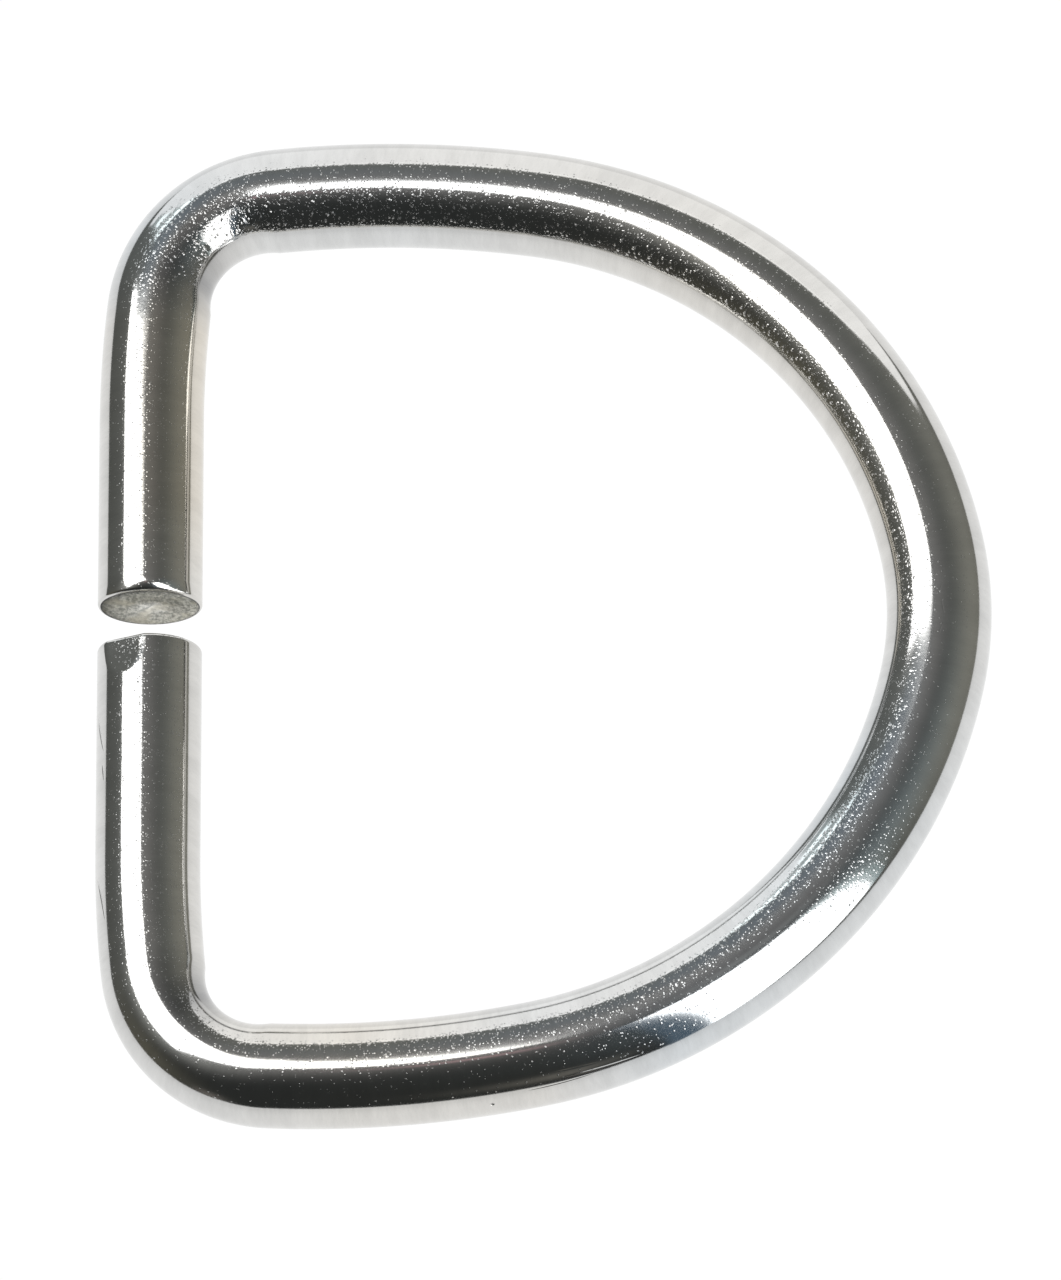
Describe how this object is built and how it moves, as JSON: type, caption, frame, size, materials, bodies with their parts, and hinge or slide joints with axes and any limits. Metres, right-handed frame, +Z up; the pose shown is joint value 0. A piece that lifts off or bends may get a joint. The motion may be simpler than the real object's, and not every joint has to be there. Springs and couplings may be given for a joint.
{
  "type": "d ring",
  "caption": "D-shaped ring bent from one length of round nickel-plated steel wire, with open cut ends in its straight side, for joining a strap to a hook or another ring.",
  "frame": {"origin": "on the floor that the ring lies on, under the centre of its outline", "axes": "+X from the straight side to the bow, +Y along the straight side towards the end with the rolled-over edge, +Z up out of the plane of the ring"},
  "size_m": [0.0342, 0.0398, 0.004],
  "materials": {
    "nickel_plate": "bright nickel plate on drawn steel wire, with fine orange peel, draw lines and bare grey cut ends"
  },
  "bodies": {
    "root": {"wire_ring": "nickel_plate"}
  },
  "joints": []
}
